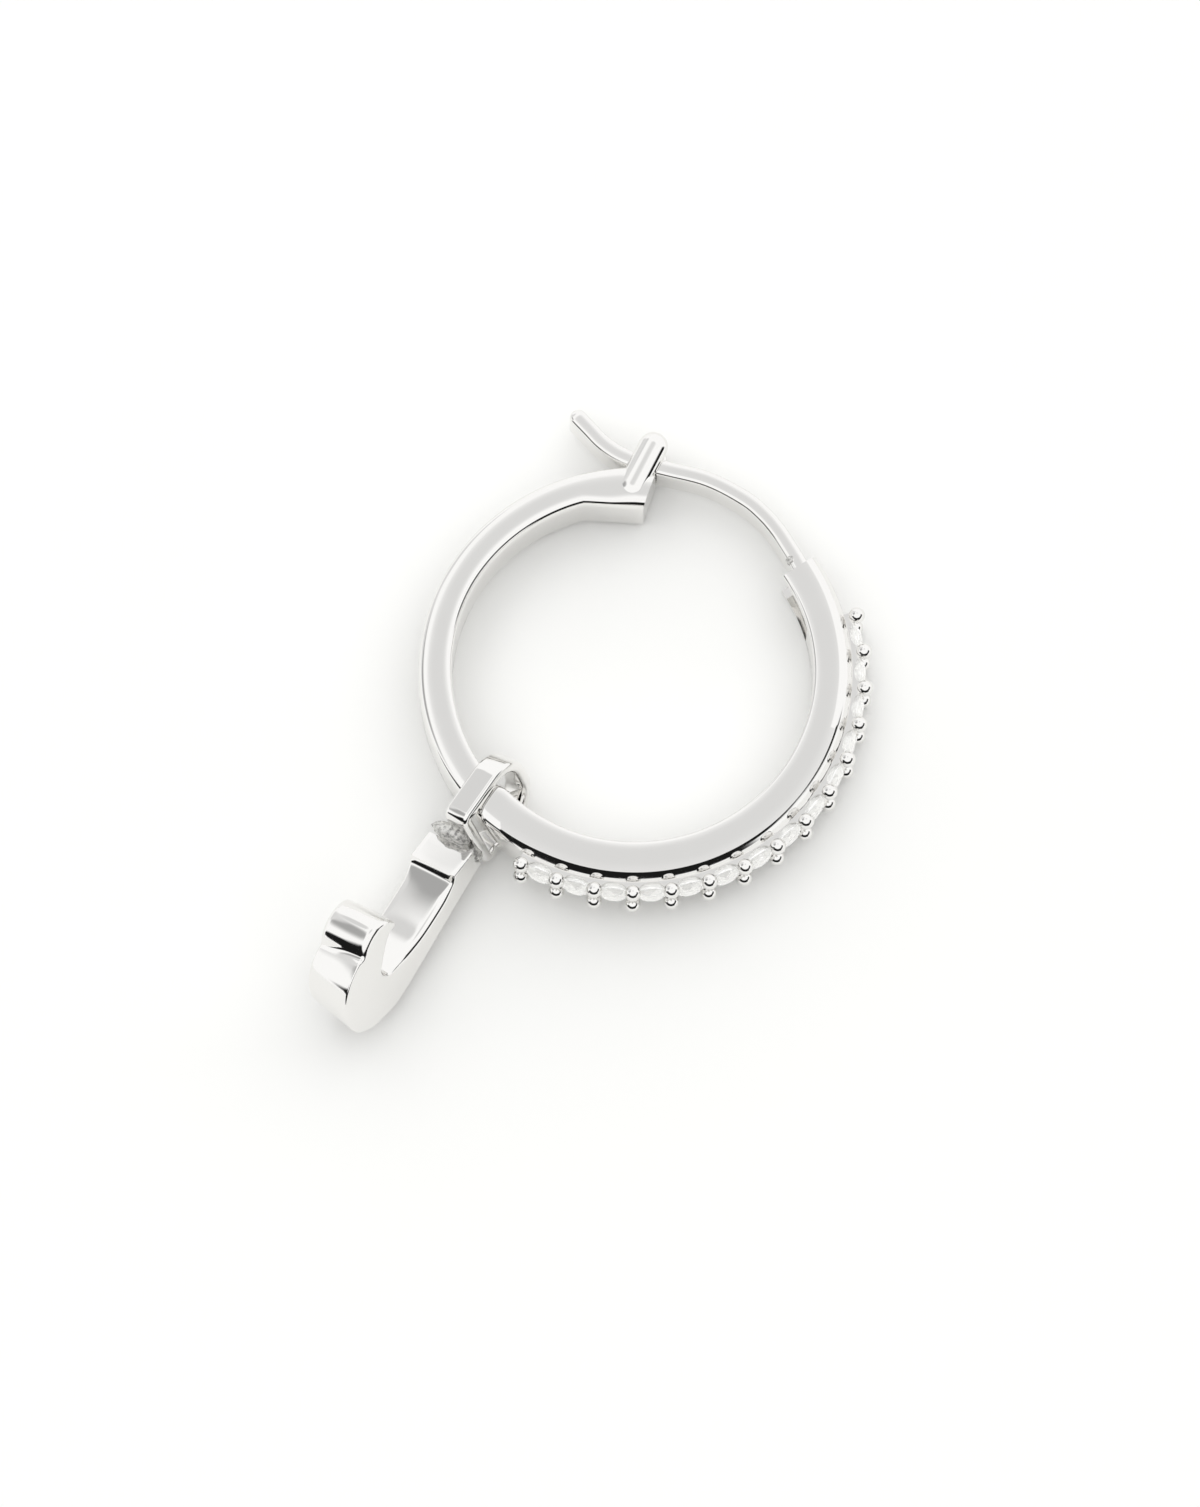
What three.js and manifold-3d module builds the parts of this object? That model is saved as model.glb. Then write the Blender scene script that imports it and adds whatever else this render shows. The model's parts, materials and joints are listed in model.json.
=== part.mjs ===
// Small hinged hoop earring with a row of pavé stones and a hook-shaped charm on a ring bail.
// Millimetres, +Z up. The earring lies on a surface at z = 0: the hoop is almost flat, lifted on
// one side by the bail that passes under its band, and the charm leans on its back edge.
// Angles in the hoop's own plane are in degrees, counterclockwise from +X.

import * as THREE from 'three';
import { mergeVertices } from 'three/addons/utils/BufferGeometryUtils.js';
import Module from 'manifold-3d';

const wasm = await Module();
wasm.setup();

// Hoop band
const bandDepth = 1.9;
const bandEdgeRadius = 0.22;
const frontOuterRadius = 7.55;
const frontWidth = 1.38;
const frontBevel = 0.3;
const backWidth = 1.15;
const backStep = 0.1;
const forkEndAngle = 86.8;
const forkEndLean = -16;
const forkBlockStep = 0.3;
const forkBlockAngle = 106;
const forkBlockLength = 8;
const throatFrom = -12;
const throatTo = 7;
const hingeEndAngle = 33.5;
const bandSegments = 80;

// Fork catch that holds the latch wire
const prongWidth = 1.04;
const prongRootAngle = 90.5;
const prongRootDepth = 0.65;
const prongReach = 1.5;
const prongLean = -27;
const prongProud = 0.1;
const prongEdge = 0.1;

// Hinge at the other end of the band
const pinDiameter = 0.45;
const pinAngle = 29;
const pinBelowFront = 0.65;
const pinCover = 0.15;
const pinSeatClearance = 0.03;
const runningClearance = 0.04;
const knuckleWall = 0.18;
const slotBackAngle = 14.4;
const slotOuterWall = 0.3;
const reliefBehindPin = 0.45;

// Latch wire
const wireAcross = 0.6;
const wireDepth = 1.24;
const wireEdge = 0.15;
const wireSteps = 44;
// Route of the wire's middle line: angle in degrees and distance beyond the pin's radius in mm
const wireRoute = [
  { angle: 15.4, beyond: -0.07 },
  { angle: 22, beyond: -0.07 },
  { angle: 29, beyond: 0 },
  { angle: 35.6, beyond: 0.09 },
  { angle: 41, beyond: 0.19 },
  { angle: 46, beyond: 0.32 },
  { angle: 52, beyond: 0.46 },
  { angle: 59, beyond: 0.57 },
  { angle: 70, beyond: 0.65 },
  { angle: 81, beyond: 0.67 },
  { angle: 87, beyond: 0.79 },
  { angle: 91.4, beyond: 1 },
  { angle: 94.8, beyond: 1.28 },
  { angle: 97.7, beyond: 1.7 },
  { angle: 99.9, beyond: 2.22 },
  { angle: 101.7, beyond: 2.7 },
];

// Pavé setting and its stones
const stoneCount = 14;
const firstBeadAngle = -119.2;
const lastBeadAngle = 14.9;
const beadDiameter = 0.46;
const beadSpan = 1.34;
const postWidth = 0.42;
const galleryHeight = 0.42;
const galleryRoot = 0.3;
const stoneDiameter = 1.14;
const stoneCrown = 0.2;
const stonePavilion = 0.44;
const stoneGirdle = 0.05;
const stoneTable = 0.58;
const stoneSides = 16;
const stoneClearance = 0.03;
const girdleAboveBand = 0.2;

// Bail of the charm, a link with straight sides
const bailWall = 0.41;
const bailWidth = 0.8;
const bailInnerLength = 2.42;
const bailInnerHeight = 2.34;
const bailCorner = 1.3;
const bailTurn = 9;
const bailAngle = 222.6;
const bailInset = 0.16;
const bailEdge = 0.12;
const bailLift = 0.07;

// Hook charm, measured in its own plane: along its stem, and across from its back edge
const charmLength = 7.58;
const charmWidth = 4.08;
const charmStroke = 1.12;
const charmDepth = 1.95;
const charmEdge = 0.16;
const tipHeight = 3.66;
const tipOuterRounding = 1.3;
const tipTopRounding = 0.58;
const tipInnerRounding = 0.24;
const hookFlare = 9;
const notchRadius = 0.6;
const notchFlare = 36;
const bottomStroke = 1.98;
const shoulderLength = 1.4;
const shoulderRise = 0.16;
const bailAcross = 0.8;
const bailToStem = 0.06;
const bailToMiddle = 0.49;
const solderRadius = 0.46;
const solderShape = [0.8, 1.1, 1.3];
const charmHeading = 239.7;
const charmLean = 18.9;

// Values that follow from the sizes above
const frontInnerRadius = frontOuterRadius - frontWidth;
const backOuterRadius = frontOuterRadius - backStep;
const backInnerRadius = backOuterRadius - backWidth;
const forkBlockInner = backInnerRadius - forkBlockStep;
const prongRootRadius = backOuterRadius - prongRootDepth;
const pinRadius = frontOuterRadius - pinBelowFront;
const slotDepth = wireDepth + 2 * runningClearance;
const knuckleRadius = pinDiameter / 2 + runningClearance + knuckleWall;
const bandMiddleRadius = (frontInnerRadius + frontOuterRadius) / 2;
const bailHalfLength = bailInnerLength / 2 + bailWall;
const beadPitch = (lastBeadAngle - firstBeadAngle) / stoneCount;
const beadRadius = frontOuterRadius + galleryHeight;
const galleryDepth = bandDepth - 2 * frontBevel;
const girdleRadius = frontOuterRadius + girdleAboveBand;
const cutLength = 4 * bandDepth;

const silver = new THREE.MeshStandardMaterial({ color: 0xdcdcde, roughness: 0.12, metalness: 1 });
const clearStone = new THREE.MeshStandardMaterial({ color: 0xf4f6f8, roughness: 0.02, metalness: 0 });

const radians = THREE.MathUtils.degToRad;

function polar(angle, radius) {
  return new THREE.Vector2(radius * Math.cos(radians(angle)), radius * Math.sin(radians(angle)));
}

// A closed geometry as a solid that can be cut and joined
function solidOf(geometry) {
  const bare = geometry.index ? geometry.toNonIndexed() : geometry.clone();
  bare.deleteAttribute('normal');
  bare.deleteAttribute('uv');
  const merged = mergeVertices(bare, 1e-5);
  const corners = new Uint32Array(merged.index.array);
  const kept = [];
  for (let i = 0; i < corners.length; i += 3) {
    const [a, b, c] = [corners[i], corners[i + 1], corners[i + 2]];
    if (a !== b && b !== c && c !== a) kept.push(a, b, c);
  }
  return new wasm.Manifold(new wasm.Mesh({
    numProp: 3,
    vertProperties: new Float32Array(merged.attributes.position.array),
    triVerts: new Uint32Array(kept),
  }));
}

function geometryOf(solid) {
  const mesh = solid.getMesh();
  const geometry = new THREE.BufferGeometry();
  geometry.setAttribute('position', new THREE.BufferAttribute(new Float32Array(mesh.vertProperties), 3));
  geometry.setIndex(new THREE.BufferAttribute(new Uint32Array(mesh.triVerts), 1));
  geometry.computeVertexNormals();
  return geometry;
}

function joined(solids) {
  return solids.reduce((whole, solid) => whole.add(solid));
}

// A rectangle with rounded corners as a list of points, counterclockwise
function roundedSection(width, height, corner, steps) {
  const points = [];
  for (const [sideX, sideY, start] of [[1, -1, -90], [1, 1, 0], [-1, 1, 90], [-1, -1, 180]]) {
    const centreX = sideX * (width / 2 - corner);
    const centreY = sideY * (height / 2 - corner);
    for (let i = 0; i <= steps; i += 1) {
      const offset = polar(start + (90 * i) / steps, corner);
      points.push(new THREE.Vector2(centreX + offset.x, centreY + offset.y));
    }
  }
  return points;
}

// A whole ring about Z with a rounded rectangular section
function ring(inner, outer, depth, corner, segments) {
  const middle = (inner + outer) / 2;
  const profile = roundedSection(outer - inner, depth, corner, 2).map((p) => new THREE.Vector2(p.x + middle, p.y));
  profile.push(profile[0].clone());
  return solidOf(new THREE.LatheGeometry(profile, segments).rotateX(Math.PI / 2));
}

// A flat outline pulled into a solid that is centred on z = 0
function slab(shape, depth, curveSegments = 12) {
  const geometry = new THREE.ExtrudeGeometry(shape, { depth, bevelEnabled: false, curveSegments });
  return solidOf(geometry.translate(0, 0, -depth / 2));
}

// A piece of a flat ring between two angles
function arcBlock(inner, outer, from, to, depth) {
  const shape = new THREE.Shape();
  shape.absarc(0, 0, outer, radians(from), radians(to), false);
  shape.absarc(0, 0, inner, radians(to), radians(from), true);
  shape.closePath();
  return slab(shape, depth, Math.max(3, Math.ceil(Math.abs(to - from) / 5)));
}

// A cylinder along Z
function post(point, radius, depth, sides = 16) {
  const geometry = new THREE.CylinderGeometry(radius, radius, depth, sides).rotateX(Math.PI / 2);
  return solidOf(geometry.translate(point.x, point.y, 0));
}

// Turns a shape made about +Y so that its axis points outwards at an angle of the hoop
function pointOutwards(geometry, angle) {
  return geometry.rotateZ(radians(angle - 90));
}

// What the bevel takes off the near outer edge of the pavé front
function bevelCut() {
  const reach = 2 * frontBevel;
  const low = new THREE.Vector2(frontOuterRadius + reach, bandDepth / 2 - frontBevel - reach);
  const high = new THREE.Vector2(frontOuterRadius - frontBevel - reach, bandDepth / 2 + reach);
  const profile = [low, new THREE.Vector2(low.x, high.y), high, low.clone()];
  return solidOf(new THREE.LatheGeometry(profile, bandSegments).rotateX(Math.PI / 2));
}

function makeRingBand() {
  const back = ring(backInnerRadius, backOuterRadius, bandDepth, bandEdgeRadius, bandSegments);
  const front = ring(frontInnerRadius, frontOuterRadius, bandDepth, bandEdgeRadius, bandSegments);
  const from = frontInnerRadius / 2;
  const to = 2 * frontOuterRadius;
  const backSpan = arcBlock(from, to, forkEndAngle + throatFrom, bailAngle, cutLength);
  const frontSpan = arcBlock(from, to, bailAngle - 0.5, hingeEndAngle + 360, cutLength);
  return back.intersect(backSpan).add(front.subtract(bevelCut()).intersect(frontSpan));
}

// A bar with round ends along a direction, with softened edges
function makeProng(lowZ, highZ) {
  const root = polar(prongRootAngle, prongRootRadius);
  const reach = backOuterRadius + prongReach - prongRootRadius - prongWidth / 2;
  const along = polar(prongRootAngle + prongLean, 1);
  const tip = root.clone().addScaledVector(along, reach);
  const heading = Math.atan2(along.y, along.x);
  const radius = prongWidth / 2 - prongEdge;
  const shape = new THREE.Shape();
  shape.absarc(tip.x, tip.y, radius, heading - Math.PI / 2, heading + Math.PI / 2, false);
  shape.absarc(root.x, root.y, radius, heading + Math.PI / 2, heading + 1.5 * Math.PI, false);
  shape.closePath();
  const depth = highZ - lowZ - 2 * prongEdge;
  const geometry = new THREE.ExtrudeGeometry(shape, {
    depth, curveSegments: 8, bevelThickness: prongEdge, bevelSize: prongEdge, bevelSegments: 2,
  });
  return solidOf(geometry.translate(0, 0, lowZ + prongEdge));
}

// The band's end grows a little inwards and straight, so that it can carry the prongs
function makeForkBlock() {
  const inset = bandEdgeRadius;
  const points = [
    polar(forkBlockAngle, backInnerRadius + inset),
    polar(forkEndAngle - forkBlockLength, forkBlockInner + inset),
    polar(forkEndAngle - forkBlockLength, backOuterRadius - inset),
    polar((forkBlockAngle + forkEndAngle) / 2, backOuterRadius - inset),
    polar(forkBlockAngle, backOuterRadius - inset),
  ];
  const shape = new THREE.Shape(points.reverse());
  const depth = bandDepth - 2 * inset;
  return solidOf(new THREE.ExtrudeGeometry(shape, {
    depth, bevelThickness: inset, bevelSize: inset, bevelSegments: 2,
  }).translate(0, 0, -depth / 2));
}

// How far the wire's middle line lies beyond the pin's radius at an angle
function wireBeyond(angle) {
  const next = wireRoute.findIndex((row) => row.angle >= angle);
  const low = wireRoute[next - 1];
  const high = wireRoute[next];
  return THREE.MathUtils.mapLinear(angle, low.angle, high.angle, low.beyond, high.beyond);
}

function addFork(band) {
  const nearProng = makeProng(slotDepth / 2, bandDepth / 2 + prongProud);
  const farProng = makeProng(-bandDepth / 2, -slotDepth / 2);
  const corner = polar(forkEndAngle, forkBlockInner);
  const cutSize = 3 * (backOuterRadius - backInnerRadius);
  const endCut = solidOf(new THREE.BoxGeometry(cutSize, 2 * cutSize, cutLength)
    .translate(cutSize / 2, 0, 0)
    .rotateZ(radians(forkEndAngle + forkEndLean - 90))
    .translate(corner.x, corner.y, 0));
  const wireMiddle = pinRadius + wireBeyond(forkEndAngle + throatFrom / 2);
  const throatFloor = wireMiddle - wireAcross / 2 - 2 * runningClearance;
  const throat = arcBlock(
    throatFloor, 2 * throatFloor, forkEndAngle + throatFrom, forkEndAngle + throatTo, slotDepth);
  const block = joined([band, makeForkBlock()]).subtract(endCut);
  return joined([block, nearProng, farProng]).subtract(throat);
}

function cutHinge(band) {
  const pocketOuter = frontOuterRadius - slotOuterWall;
  const pocket = arcBlock(frontInnerRadius - 1, pocketOuter, slotBackAngle, hingeEndAngle + 6, slotDepth);
  const reliefAngle = THREE.MathUtils.radToDeg(reliefBehindPin / pinRadius);
  const relief = arcBlock(
    pinRadius, 2 * frontOuterRadius, pinAngle - reliefAngle, hingeEndAngle + 6, slotDepth);
  const pinHole = post(polar(pinAngle, pinRadius), pinDiameter / 2 + pinSeatClearance, cutLength)
    .translate([0, 0, bandDepth / 2 - pinCover - cutLength / 2]);
  return band.subtract(pocket).subtract(relief).subtract(pinHole);
}

function beadAngles() {
  return Array.from({ length: stoneCount + 1 }, (_, i) => firstBeadAngle + i * beadPitch);
}

function stoneAngles() {
  return Array.from({ length: stoneCount }, (_, i) => firstBeadAngle + (i + 0.5) * beadPitch);
}

// The hole that a stone drops into: straight above its girdle and a cone below
function stoneSeat(angle) {
  const seatRadius = stoneDiameter / 2 + stoneClearance;
  const floor = girdleRadius - stonePavilion - 2 * stoneClearance;
  const shoulder = girdleRadius - stoneClearance;
  const profile = [
    new THREE.Vector2(0, floor),
    new THREE.Vector2(2 * stoneClearance, floor),
    new THREE.Vector2(seatRadius, shoulder),
    new THREE.Vector2(seatRadius, 1.2 * beadRadius),
    new THREE.Vector2(0, 1.2 * beadRadius),
  ];
  return solidOf(pointOutwards(new THREE.LatheGeometry(profile, stoneSides), angle));
}

function addGallery(band) {
  const halfPost = THREE.MathUtils.radToDeg(postWidth / 2 / beadRadius);
  const wall = arcBlock(
    frontOuterRadius - galleryRoot, beadRadius, firstBeadAngle - halfPost, lastBeadAngle + halfPost,
    galleryDepth);
  const pitchLength = radians(beadPitch) * beadRadius;
  const scallopRadius = (pitchLength - postWidth) / 2;
  const scallops = stoneAngles().map((angle) => post(polar(angle, beadRadius), scallopRadius, cutLength, 12));
  const seats = stoneAngles().map(stoneSeat);
  const beads = beadAngles().flatMap((angle) => [-1, 1].map((side) => {
    const centre = polar(angle, beadRadius);
    const bead = new THREE.SphereGeometry(beadDiameter / 2, 10, 6).rotateX(Math.PI / 2);
    return solidOf(bead.translate(centre.x, centre.y, (side * beadSpan) / 2));
  }));
  const cuts = joined(scallops.concat(seats));
  return joined([band, wall]).subtract(cuts).add(joined(beads));
}

// A round brilliant with its table facing outwards
function makeStone(angle) {
  const girdle = stoneDiameter / 2;
  const profile = [
    new THREE.Vector2(0, girdleRadius - stonePavilion),
    new THREE.Vector2(girdle, girdleRadius),
    new THREE.Vector2(girdle, girdleRadius + stoneGirdle),
    new THREE.Vector2(girdle * stoneTable, girdleRadius + stoneGirdle + stoneCrown),
    new THREE.Vector2(0, girdleRadius + stoneGirdle + stoneCrown),
  ];
  const cut = solidOf(new THREE.LatheGeometry(profile, stoneSides));
  return pointOutwards(geometryOf(cut), angle);
}

// The pin goes in from the far face and ends below the near one
function makePin() {
  const centre = polar(pinAngle, pinRadius);
  const top = bandDepth / 2 - pinCover - pinSeatClearance;
  const bottom = pinSeatClearance - bandDepth / 2;
  return geometryOf(post(centre, pinDiameter / 2, top - bottom).translate([0, 0, (top + bottom) / 2]));
}

function makeWire() {
  const route = wireRoute.map(({ angle, beyond }) => {
    const point = polar(angle, pinRadius + beyond);
    return new THREE.Vector3(point.x, point.y, 0);
  });
  const path = new THREE.CatmullRomCurve3(route, false, 'centripetal');
  const section = new THREE.Shape(roundedSection(wireDepth, wireAcross, wireEdge, 2));
  const wire = solidOf(new THREE.ExtrudeGeometry(section, { steps: wireSteps, extrudePath: path }));
  const tip = post(route[route.length - 1], wireAcross / 2, wireDepth - 2 * wireEdge, 12);
  const centre = polar(pinAngle, pinRadius);
  const knuckle = post(centre, knuckleRadius, wireDepth, 20);
  const hole = post(centre, pinDiameter / 2 + runningClearance, cutLength);
  return geometryOf(joined([wire, tip, knuckle]).subtract(hole));
}

// Adds a straight run and then a rounded corner to an outline
function roundCorner(shape, corner, next, sizeBefore, sizeAfter) {
  const last = shape.currentPoint.clone();
  const before = corner.clone().addScaledVector(last.sub(corner).normalize(), sizeBefore);
  const after = corner.clone().addScaledVector(next.clone().sub(corner).normalize(), sizeAfter);
  shape.lineTo(before.x, before.y);
  shape.quadraticCurveTo(corner.x, corner.y, after.x, after.y);
}

// The point of a sloping side, given by its lower end and its slope, at a place along the stem
function sidePoint(start, flare, along) {
  return new THREE.Vector2(along, start.y + (start.x - along) * Math.tan(radians(flare)));
}

// The charm's flat outline: x runs down its stem and y from its back edge towards its hook
function hookOutline() {
  const edge = charmEdge;
  const outer = charmWidth / 2;
  const bend = new THREE.Vector2(charmLength - outer, outer);
  const notch = new THREE.Vector2(charmLength - bottomStroke - notchRadius, charmStroke + notchRadius);
  const outerEnd = polar(90 - hookFlare, outer - edge).add(bend);
  const notchEnd = polar(90 - notchFlare, notchRadius + edge).add(notch);
  const tip = charmLength - tipHeight + edge;
  const tipOuter = sidePoint(outerEnd, hookFlare, tip);
  const tipInner = sidePoint(notchEnd, notchFlare, tip);
  const shape = new THREE.Shape();
  shape.moveTo(edge, edge);
  shape.lineTo(bend.x, edge);
  shape.absarc(bend.x, bend.y, outer - edge, -Math.PI / 2, radians(90 - hookFlare), false);
  roundCorner(shape, tipOuter, tipInner, tipOuterRounding, tipTopRounding);
  roundCorner(shape, tipInner, notchEnd, tipInnerRounding, tipInnerRounding);
  shape.lineTo(notchEnd.x, notchEnd.y);
  shape.absarc(notch.x, notch.y, notchRadius + edge, radians(90 - notchFlare), -Math.PI / 2, true);
  shape.lineTo(shoulderLength - edge, charmStroke - edge);
  shape.lineTo(shoulderLength - edge, charmStroke + shoulderRise - edge);
  shape.lineTo(edge, charmStroke + shoulderRise - edge);
  shape.closePath();
  return shape;
}

// The bail: a link with straight sides and round corners. Its own origin is its middle.
function makeBail() {
  const grow = bailWall - bailEdge;
  const shape = new THREE.Shape(roundedSection(
    bailInnerLength + 2 * grow, bailInnerHeight + 2 * grow, bailCorner - bailEdge, 6));
  shape.holes.push(new THREE.Path(roundedSection(
    bailInnerLength + 2 * bailEdge, bailInnerHeight + 2 * bailEdge, bailCorner - grow, 6).reverse()));
  const depth = bailWidth - 2 * bailEdge;
  return solidOf(new THREE.ExtrudeGeometry(shape, {
    depth, bevelThickness: bailEdge, bevelSize: bailEdge, bevelSegments: 2,
  }).translate(0, 0, -depth / 2).rotateZ(radians(bailTurn)));
}

// Hook and bail soldered into one piece. Its own origin is the middle of the bail.
function makeCharm() {
  const depth = charmDepth - 2 * charmEdge;
  const stemStart = bailHalfLength - bailToStem;
  const hook = solidOf(new THREE.ExtrudeGeometry(hookOutline(), {
    depth, curveSegments: 14, bevelThickness: charmEdge, bevelSize: charmEdge, bevelSegments: 2,
  }).translate(stemStart, -bailAcross, bailToMiddle - depth / 2));
  const solder = solidOf(new THREE.SphereGeometry(solderRadius, 12, 8)
    .scale(...solderShape)
    .translate(stemStart, 0, bailToMiddle / 2));
  const inside = roundedSection(bailInnerLength, bailInnerHeight, bailCorner - bailWall, 6);
  const opening = slab(new THREE.Shape(inside), cutLength).rotate([0, 0, bailTurn]);
  return geometryOf(joined([hook.subtract(opening), makeBail(), solder.subtract(opening)]));
}

function namedMesh(name, geometry, material) {
  const mesh = new THREE.Mesh(geometry, material);
  mesh.name = name;
  return mesh;
}

const hoop = new THREE.Group();
hoop.add(namedMesh('hoop_band', geometryOf(addGallery(cutHinge(addFork(makeRingBand())))), silver));
hoop.add(namedMesh('hinge_pin', makePin(), silver));
hoop.add(namedMesh('latch_wire', makeWire(), silver));
stoneAngles().forEach((angle, i) => {
  hoop.add(namedMesh(`stone_${String(i + 1).padStart(2, '0')}`, makeStone(angle), clearStone));
});

const charm = new THREE.Group();
charm.add(namedMesh('hook_charm', makeCharm(), silver));

// The charm's stem points along its heading and slopes until its back rests on the surface.
// The lean turns it about its stem, towards its far side.
function charmTurn(slope) {
  return new THREE.Matrix4()
    .makeRotationZ(radians(charmHeading))
    .multiply(new THREE.Matrix4().makeRotationY(radians(slope)))
    .multiply(new THREE.Matrix4().makeRotationX(radians(90 + charmLean)));
}

function lowestPoint(geometry, turn) {
  const point = new THREE.Vector3();
  const positions = geometry.attributes.position;
  let lowest = Infinity;
  for (let i = 0; i < positions.count; i += 1) {
    lowest = Math.min(lowest, point.fromBufferAttribute(positions, i).applyMatrix4(turn).z);
  }
  return lowest;
}

// The bail stands on the surface, so the charm slopes as far as its far end allows
const bailSolid = geometryOf(makeBail());
let slopeLow = -20;
let slopeHigh = 45;
for (let i = 0; i < 40; i += 1) {
  const slope = (slopeLow + slopeHigh) / 2;
  const turn = charmTurn(slope);
  const rests = lowestPoint(charm.children[0].geometry, turn) < lowestPoint(bailSolid, turn) - 1e-4;
  if (rests) slopeHigh = slope;
  else slopeLow = slope;
}
const charmSlope = slopeLow;
const bailHeight = -lowestPoint(bailSolid, charmTurn(charmSlope));

// The hoop's far edge touches the surface opposite the bail, and the bail lifts its near side
const liftedHeight = bailHeight + bailLift - bandDepth / 2;
const hoopTilt = Math.asin(liftedHeight / (bandMiddleRadius + frontOuterRadius - bandEdgeRadius));
const tiltAxis = new THREE.Vector3(Math.sin(radians(bailAngle)), -Math.cos(radians(bailAngle)), 0);
hoop.quaternion.setFromAxisAngle(tiltAxis, hoopTilt);
hoop.position.z = bailHeight + bailLift - bandMiddleRadius * Math.sin(hoopTilt);

const bailSpot = polar(bailAngle, (bandMiddleRadius - bailInset) * Math.cos(hoopTilt));
charm.applyMatrix4(charmTurn(charmSlope));
charm.position.set(bailSpot.x, bailSpot.y, bailHeight);

// The origin is under the middle of the whole earring, on the surface
const earring = new THREE.Group();
earring.add(hoop, charm);
earring.updateMatrixWorld(true);
const box = new THREE.Box3().setFromObject(earring, true);
earring.position.set(-(box.min.x + box.max.x) / 2, -(box.min.y + box.max.y) / 2, -box.min.z);
earring.updateMatrixWorld(true);

export default earring;
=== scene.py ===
"""A hinged hoop earring with a pavé front and a hook charm, lying on a pale surface.

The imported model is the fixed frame. Pieces are modelled in millimetres in the hoop's or the
charm's own frame, and their place goes into their meshes.
"""

import json
import logging
import math
from collections.abc import Callable, Sequence
from dataclasses import dataclass
from enum import Enum

import bmesh
import bpy
from mathutils import Euler, Matrix, Vector

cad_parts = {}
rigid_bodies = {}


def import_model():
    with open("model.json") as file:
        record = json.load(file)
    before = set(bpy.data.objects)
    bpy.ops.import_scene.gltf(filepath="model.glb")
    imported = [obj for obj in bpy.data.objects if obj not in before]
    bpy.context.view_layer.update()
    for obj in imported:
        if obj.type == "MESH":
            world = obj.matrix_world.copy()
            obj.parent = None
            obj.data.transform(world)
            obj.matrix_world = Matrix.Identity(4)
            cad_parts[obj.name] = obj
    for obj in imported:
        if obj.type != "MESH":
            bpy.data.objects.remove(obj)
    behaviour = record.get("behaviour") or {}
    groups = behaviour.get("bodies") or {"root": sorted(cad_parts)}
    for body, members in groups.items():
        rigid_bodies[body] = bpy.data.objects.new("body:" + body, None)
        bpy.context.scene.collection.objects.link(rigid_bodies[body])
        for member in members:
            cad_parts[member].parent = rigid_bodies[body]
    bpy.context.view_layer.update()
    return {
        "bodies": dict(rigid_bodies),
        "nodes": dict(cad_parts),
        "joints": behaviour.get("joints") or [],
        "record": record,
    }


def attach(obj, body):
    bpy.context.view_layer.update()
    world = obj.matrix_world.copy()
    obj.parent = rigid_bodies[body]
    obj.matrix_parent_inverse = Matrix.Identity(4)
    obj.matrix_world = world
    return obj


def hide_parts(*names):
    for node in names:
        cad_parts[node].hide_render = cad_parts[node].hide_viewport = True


log = logging.getLogger("hoop earring")

MM = 0.001
SOLDER_WAVES = (7, 6, 8)
SOLDER_RISE = 0.1

Solid = bmesh.types.BMesh
Material = bpy.types.Material
Tree = bpy.types.NodeTree
Socket = bpy.types.NodeSocket
Span = tuple[float, float]
Triple = tuple[float, float, float]
Table = tuple[Span, ...]
Reader = Callable[[Vector], float]
Settings = dict[str | int, object]
Links = dict[str | int, Socket]


class Body(Enum):
    """The two bodies that pieces ride on."""

    HOOP = "hoop"
    LATCH = "latch"


class Slot(Enum):
    """The record's material slots."""

    SILVER = "silver"
    STONE = "clear_stone"


# Helpers for materials
def linear(hex_colour: str) -> tuple[float, float, float, float]:
    """Turns an sRGB hex colour to linear values.

    Args:
        hex_colour: Six hex digits after a hash sign.

    Returns:
        Linear red, green and blue, and an alpha of one.
    """
    parts = [int(hex_colour[i : i + 2], 16) / 255 for i in (1, 3, 5)]
    red, green, blue = (c / 12.92 if c <= 0.04045 else ((c + 0.055) / 1.055) ** 2.4 for c in parts)
    return red, green, blue, 1.0


def add_node(
    tree: Tree, kind: str, settings: Settings | None = None, links: Links | None = None
) -> bpy.types.Node:
    """Adds a node with its settings and its incoming links.

    Args:
        tree: The node tree that gets the node.
        kind: The node's type name.
        settings: Node properties by name, or inputs' values by name or number.
        links: Source sockets by the name or number of the input they feed.

    Returns:
        The new node.
    """
    node = tree.nodes.new(kind)
    for name, value in (settings or {}).items():
        if isinstance(name, str) and hasattr(node, name):
            setattr(node, name, value)
        else:
            node.inputs[name].default_value = value
    for name, source in (links or {}).items():
        tree.links.new(source, node.inputs[name])
    return node


def start_material(name: str) -> tuple[Material, Tree]:
    """Starts a material, and gives its node tree too."""
    made = bpy.data.materials.new(name)
    made.use_nodes = True
    return made, made.node_tree


def set_shader(made: Material, values: Settings, links: Links | None = None) -> Material:
    """Sets a material's shader.

    Args:
        made: The material.
        values: The shader's values by name.
        links: Source sockets by the name of the input they feed.

    Returns:
        The same material.
    """
    shader = made.node_tree.nodes["Principled BSDF"]
    for name, value in values.items():
        shader.inputs[name].default_value = value
    for name, source in (links or {}).items():
        made.node_tree.links.new(source, shader.inputs[name])
    return made


def grain(tree: Tree, size_mm: float, detail: float, roughness: float = 0.5) -> Socket:
    """Adds noise that is fixed to the object.

    Args:
        tree: The node tree that gets it.
        size_mm: Size of its patches.
        detail: How many finer layers it has.
        roughness: How strong they are.

    Returns:
        The noise.
    """
    settings = {"Scale": 1 / (size_mm * MM), "Detail": detail, "Roughness": roughness}
    place = add_node(tree, "ShaderNodeTexCoord").outputs["Object"]
    return add_node(tree, "ShaderNodeTexNoise", settings, {"Vector": place}).outputs["Fac"]


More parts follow.
